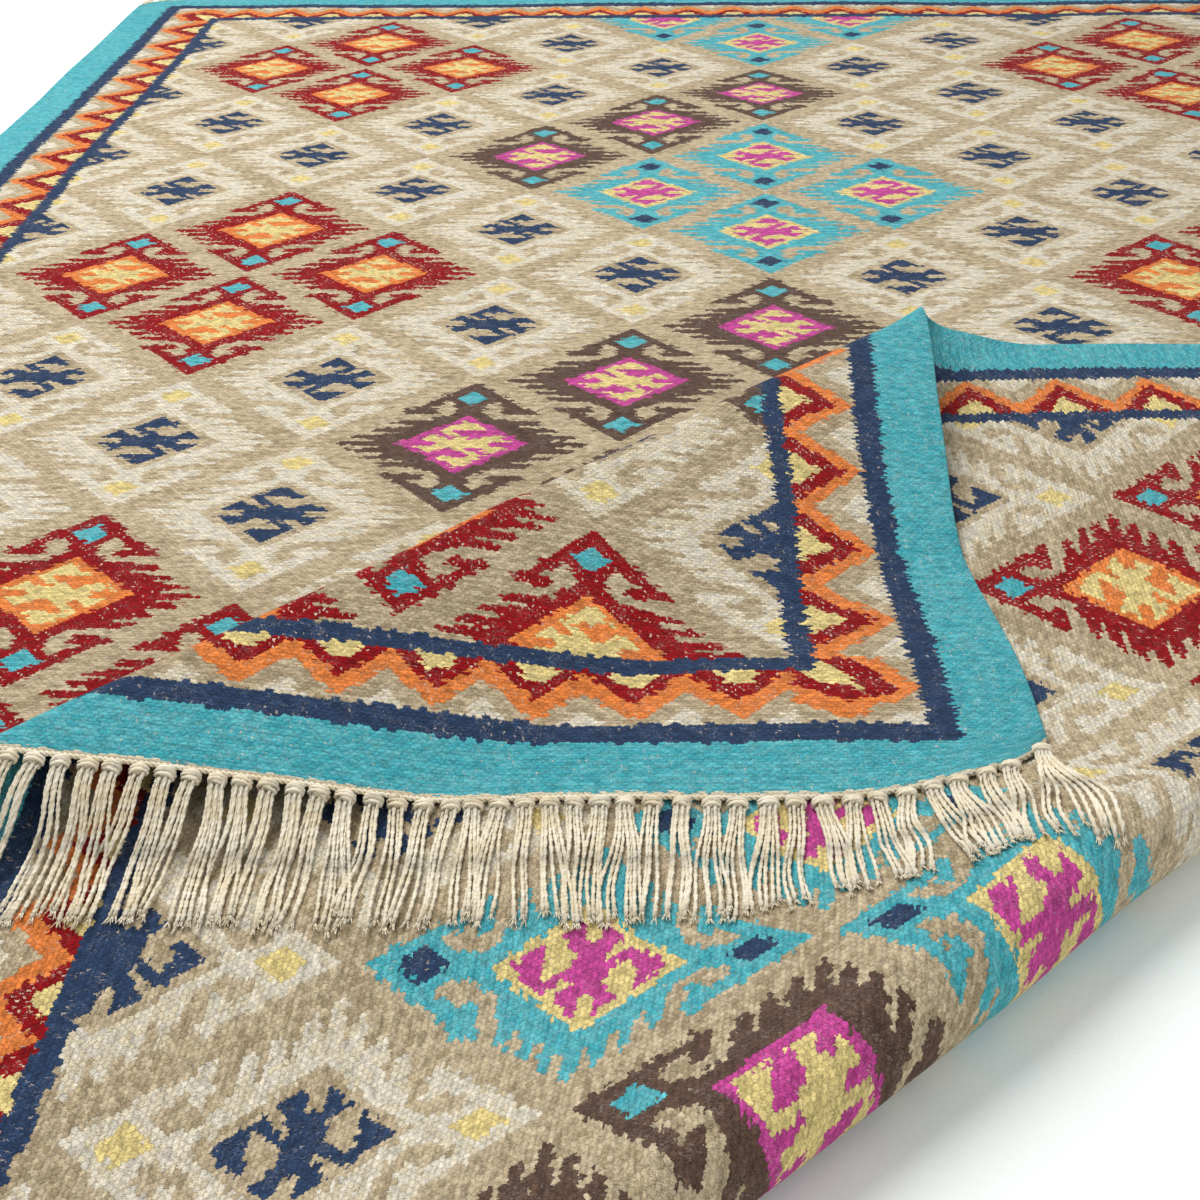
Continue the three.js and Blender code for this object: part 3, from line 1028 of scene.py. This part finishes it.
def edgePaths(end):
    # two strands wound round each other along the end of the cloth
    reach = halfWidth - fringe["edgeShort"]
    steps = round(2 * reach / fringe["edgeLay"] * 8)
    paths = [[], []]
    for step in range(steps + 1):
        x = lerp(-reach, reach, step / steps)
        place, _, lengthWay, faceWay = clothFrame(x, end * (endAt(x) + fringe["edgeOut"]))
        turn = 2 * math.pi * (x + reach) / fringe["edgeLay"]
        for ply, path in enumerate(paths):
            angle = turn + ply * math.pi
            offset = lengthWay * math.cos(angle) * 0.8 + faceWay * math.sin(angle)
            path.append((place + offset * fringe["edgeCord"], 1.0, 0.0))
    return paths


def lowestPlace(place, radius, reachUp=fringe["lie"]):
    # the height at which a cord lies on the cloth or the floor below a place
    hit = clothTree.ray_cast(Vector((place.x, place.y, place.z + reachUp)), Vector((0, 0, -1)))
    ground = hit[0].z if hit[0] else 0.0
    return ground + radius


def leanAt(x, end, dice):
    # how far a tassel leans along the edge
    if end > 0 or x < leaning["flapFrom"]:
        return dice.uniform(-leaning["elsewhereChance"], leaning["elsewhereChance"])
    lean = lerp(leaning["left"], 0.0, smooth((x - leaning["leftFrom"]) / leaning["leftOver"]))
    lean += leaning["right"] * smooth((x - leaning["rightFrom"]) / leaning["rightOver"])
    return lean + dice.uniform(-leaning["flapChance"], leaning["flapChance"])


def tasselLine(point, outWay, widthWay, lean, length, steps, dice):
    # the middle line of a tassel: it leaves the knot, sinks and comes to rest. Also the way across it.
    outFlat = Vector((outWay.x, outWay.y, 0)).normalized()
    sideFlat = Vector((-outFlat.y, outFlat.x, 0))
    if sideFlat.dot(widthWay) < 0:
        sideFlat = -sideFlat
    elevation = math.asin(clamp(outWay.z, -1, 1))
    wave, phase, turn = dice.uniform(0.02, 0.1), dice.uniform(0, 6.28), dice.uniform(60, 100)
    steepest = dice.uniform(0.75, 1.05)
    stepLong = length / steps
    line = []
    clear = 1.0  # how far the line is above what it will lie on
    for step in range(steps + 1):
        part = step / steps
        line.append(point.copy())
        bend = lean * (1 - 0.4 * part) + wave * math.cos(phase + turn * part * length)
        way = outFlat * math.cos(bend) + sideFlat * math.sin(bend)
        lowest = -min(steepest, 0.1 + clear * fringe["landing"])
        elevation = max(lowest, elevation - stepLong * fringe["turn"])
        fresh = point + (way * math.cos(elevation) + Vector((0, 0, math.sin(elevation)))) * stepLong
        rest = lowestPlace(fresh, fringe["cord"])
        clear = max(fresh.z - rest, 0)
        if fresh.z < rest:
            fresh.z = rest if rest - fresh.z < 0.006 else max(fresh.z, fringe["cord"])
            elevation = max(elevation, -0.05)
        point = fresh
    return line, sideFlat


def wrapKnot(place, outWay, widthWay, faceWay, dice):
    # the cord wound round a tassel's head, the heart inside it, and where the cords leave it
    tilt = dice.uniform(-0.12, 0.3)
    size = dice.uniform(0.92, 1.08)
    sideWay = (widthWay + outWay * tilt).normalized()
    downWay = (outWay - widthWay * tilt * 0.4).normalized()
    head = place + outWay * fringe["knotStart"]
    turns = fringe["knotTurns"] + dice.uniform(-0.3, 0.3)
    steps = round(turns * 10)
    begin = dice.uniform(0, 2 * math.pi)
    knot = []
    for step in range(steps + 1):
        part = step / steps
        angle = begin + 2 * math.pi * turns * part
        bulge = size * (0.84 + 0.24 * math.sin(math.pi * part))
        offset = sideWay * math.cos(angle) * fringe["knotWide"]
        offset += faceWay * math.sin(angle) * fringe["knotThick"]
        knot.append((head + downWay * (fringe["knotLong"] * part) + offset * bulge, 1.0, step * 0.7))
    atHead, atMiddle, atFoot = fringe["heartThick"]
    heart = [
        (place + outWay * 0.0005, 1.2, 0.0),
        (head, atHead, 0.0),
        (head + downWay * fringe["knotLong"] * 0.5, atMiddle, 0.0),
        (head + downWay * fringe["knotLong"], atFoot, 0.0),
    ]
    return knot, heart, head + downWay * fringe["knotLong"] * 0.8


def layCord(line, sideFlat, headSide, tipSide, headRise, length, loose, dice):
    # one cord, which leaves the knot beside the tassel's middle line and swings out from it as it lies down
    steps = len(line) - 1
    reach = dice.uniform(0.9, 1.0)
    over = fringe["cord"] * 1.5 * (dice.random() < 0.25)  # some lie on top of their neighbours
    wave, phase, turn = dice.uniform(0.0002, 0.0008) * loose, dice.uniform(0, 6.28), dice.uniform(4, 9)
    twist = dice.uniform(0, 3)
    path = []
    for step in range(steps + 1):
        part = step / steps
        along = min(part * reach * steps, steps - 0.001)
        low = int(along)
        point = line[low].lerp(line[low + 1], along - low)
        height = point.z
        ease = smooth(part * 1.2)
        aside = lerp(headSide, tipSide, ease) + wave * math.sin(phase + turn * part) * ease
        point = point + sideFlat * aside
        rest = lowestPlace(point, fringe["cord"])
        touching = height < lowestPlace(line[low], fringe["cord"]) + 0.001
        lying = rest if touching else max(rest, height)
        point.z = max(lying, fringe["cord"]) + lerp(headRise, over, ease)
        thick = 0.7 if step == steps else 1.0 + 0.25 * clamp((part - 0.85) * 8)
        path.append((point, thick, twist + part * length / fringe["ply"] * 1.57))
    return path


def tasselPaths(x, end, dice, fine):
    # the knot of one tassel and its heart, its cords and their tips
    place, widthWay, lengthWay, faceWay = clothFrame(x, end * endAt(x))
    outWay = lengthWay * end
    knot, heart, foot = wrapKnot(place, outWay, widthWay, faceWay, dice)

    lean = leanAt(x, end, dice)
    number = dice.choice(fringe["cordsEach"])
    spread, length = dice.uniform(0.9, 1.45), fringe["cordLong"] * dice.uniform(0.93, 1.06)
    if end < 0 and x > halfWidth - cornerTassel["within"]:
        lean, number, spread = cornerTassel["lean"], cornerTassel["cords"], cornerTassel["spread"]
        length = fringe["cordLong"] * cornerTassel["long"]
    detail = fineTassel if fine else plainTassel
    line, sideFlat = tasselLine(foot, outWay, widthWay, lean, length * 1.06, detail["steps"], dice)
    loosening = fringe["loose"]
    loose = 1 + loosening["more"] * smooth((loosening["from"] - x) / loosening["over"])
    cords, tips = [], []
    for index in range(number):
        across = (index + 0.5) / number * 2 - 1
        headSide, headRise = across * fringe["headWide"], index % 2 * fringe["cord"] * 1.2
        strayed = dice.uniform(-fringe["stray"], fringe["stray"]) * loose
        tipSide = across * number * fringe["cord"] * spread + strayed
        path = layCord(line, sideFlat, headSide, tipSide, headRise, length, loose, dice)
        cords.append(path)
        tips += tipPaths(path[-2][0], path[-1][0], sideFlat, detail["tips"], dice)
    return knot, heart, cords, tips


def tipPaths(before, last, sideFlat, count, dice):
    # the loose fibres in which a cut cord ends
    way = (last - before).normalized()
    paths = []
    for _ in range(count):
        spread = sideFlat * dice.uniform(-0.4, 0.4) + Vector((0, 0, dice.uniform(0.0, 0.25)))
        away = (way + spread).normalized() * fringe["tipLong"] * dice.uniform(0.6, 1.1)
        root = last - way * 0.002 + sideFlat * dice.uniform(-0.6, 0.6) * fringe["cord"]
        path = []
        for part, thick in fringe["tipTaper"]:
            point = root + away * part
            point.z = max(point.z, lowestPlace(point, fringe["tip"] * 2, 0.003))
            path.append((point, thick, 0.0))
        paths.append(path)
    return paths


def tieFringe(name, end, node, material):
    dice = random.Random(11 if end < 0 else 12)
    knots, hearts, fineCords, plainCords, allTips = [], [], [], [], []
    for index in range(fringe["count"]):
        x = (index - (fringe["count"] - 1) / 2) * fringe["pitch"] + dice.uniform(-0.0008, 0.0008)
        if index in (0, fringe["count"] - 1):
            x += math.copysign(fringe["cornerShift"], x)
        fine = end < 0 and x > fringe["fineFrom"]
        knot, heart, cords, tips = tasselPaths(x, end, dice, fine)
        knots.append(knot)
        hearts.append(heart)
        allTips.extend(tips)
        (fineCords if fine else plainCords).extend(cords)
    pieces = [
        (name + "Edge", edgePaths(end), fringe["edgeCord"], 6, 1.0),
        (name + "Knots", knots, fringe["knotCord"], 6, 0.8),
        (name + "Hearts", hearts, fringe["heart"], 6, 1.0),
        (name + "Cords", plainCords, fringe["cord"], 6, 0.82),
        (name + "Tips", allTips, fringe["tip"], 4, 1.0),
    ]
    if fineCords:
        pieces.append((name + "FlapCords", fineCords, fringe["cord"], 8, 0.8))
    made = []
    for title, paths, radius, sides, flatness in pieces:
        mesh = cordMesh(title, paths, radius, sides, flatness)
        made.append(addPiece(title, mesh, material, node))
    return made


cordMaterial = cottonCord()
fringePieces = tieFringe("nearFringe", -1, "near_fringe", cordMaterial)
fringePieces += tieFringe("farFringe", 1, "far_fringe", cordMaterial)
print("fringe tied")


# A plain pale floor, soft light from above and the camera of the photo
studio = {
    "floorSize": 14.0,
    "floorDown": -0.0003,  # just under the rug, so that the two don't lie in one plane
    "floorDark": dyed(234, 239, 234),
    "floorLight": dyed(242, 246, 242),
    "floorCloud": dyed(236, 241, 236),
    "floorRelief": 0.0006,
    "sky": 0.52,
    "skyColour": (0.95, 0.97, 1.0, 1.0),
    "keyPlace": (-1.3, 1.0, 2.6),
    "keyAim": (0.1, -0.5, 0.0),
    "keySize": 2.2,
    "keyPower": 100,
    "fillPlace": (1.6, -2.6, 1.7),
    "fillAim": (0.0, -0.6, 0.0),
    "fillSize": 1.8,
    "fillPower": 22,
}
view = {
    "place": (-0.0605, -1.358, 0.634),
    "look": (-0.0587, 0.8527, -0.5190),
    "right": (0.9982, 0.0573, -0.0188),
    "lens": 56.1,
}


def layFloor():
    material, shader, start = newMaterial("paleFloor", Roughness=0.75)
    place = start.node("ShaderNodeTexCoord", {}, {}, "Object")
    grain = start.grain(place, 420.0, 3.0)
    cloud = start.grain(place, 5.0, 2.0)
    colour = start.mixed(grain.ramp(0.2, 0.8), studio["floorDark"], studio["floorLight"])
    colour = start.mixed(cloud.ramp(0.2, 0.8) * 0.3, colour, studio["floorCloud"])
    plug(colour, shader, "Base Color")
    plug(start.bump(grain, studio["floorRelief"], 0.15), shader, "Normal")
    slab = bmesh.new()
    bmesh.ops.create_grid(slab, x_segments=2, y_segments=2, size=studio["floorSize"] / 2)
    bmesh.ops.translate(slab, vec=(0, 0, studio["floorDown"]), verts=slab.verts[:])
    mesh = bpy.data.meshes.new("floor")
    slab.to_mesh(mesh)
    slab.free()
    mesh.materials.append(material)
    floor = bpy.data.objects.new("floor", mesh)
    bpy.context.scene.collection.objects.link(floor)


def hangLight(name):
    lamp = bpy.data.lights.new(name, "AREA")
    lamp.shape = "DISK"
    lamp.size = studio[name + "Size"]
    lamp.energy = studio[name + "Power"]
    light = bpy.data.objects.new(name, lamp)
    bpy.context.scene.collection.objects.link(light)
    place = Vector(studio[name + "Place"])
    light.location = place
    light.rotation_euler = (Vector(studio[name + "Aim"]) - place).to_track_quat("-Z", "Y").to_euler()


def setCamera():
    camera = bpy.data.cameras.new("camera")
    camera.sensor_width = 36
    camera.lens = view["lens"]
    camera.clip_start = 0.02
    look = Vector(view["look"]).normalized()
    right = Vector(view["right"]).normalized()
    up = right.cross(look).normalized()
    right = look.cross(up)
    turned = Matrix((right, up, -look)).transposed().to_4x4()
    holder = bpy.data.objects.new("camera", camera)
    holder.matrix_world = Matrix.Translation(Vector(view["place"])) @ turned
    bpy.context.scene.collection.objects.link(holder)
    bpy.context.scene.camera = holder


layFloor()
hangLight("key")
hangLight("fill")
world = bpy.data.worlds.new("studio")
world.use_nodes = True
background = world.node_tree.nodes["Background"]
background.inputs["Color"].default_value = studio["skyColour"]
background.inputs["Strength"].default_value = studio["sky"]
bpy.context.scene.world = world
bpy.context.scene.view_settings.view_transform = "Standard"
setCamera()
print("studio set")

bpy.context.view_layer.update()
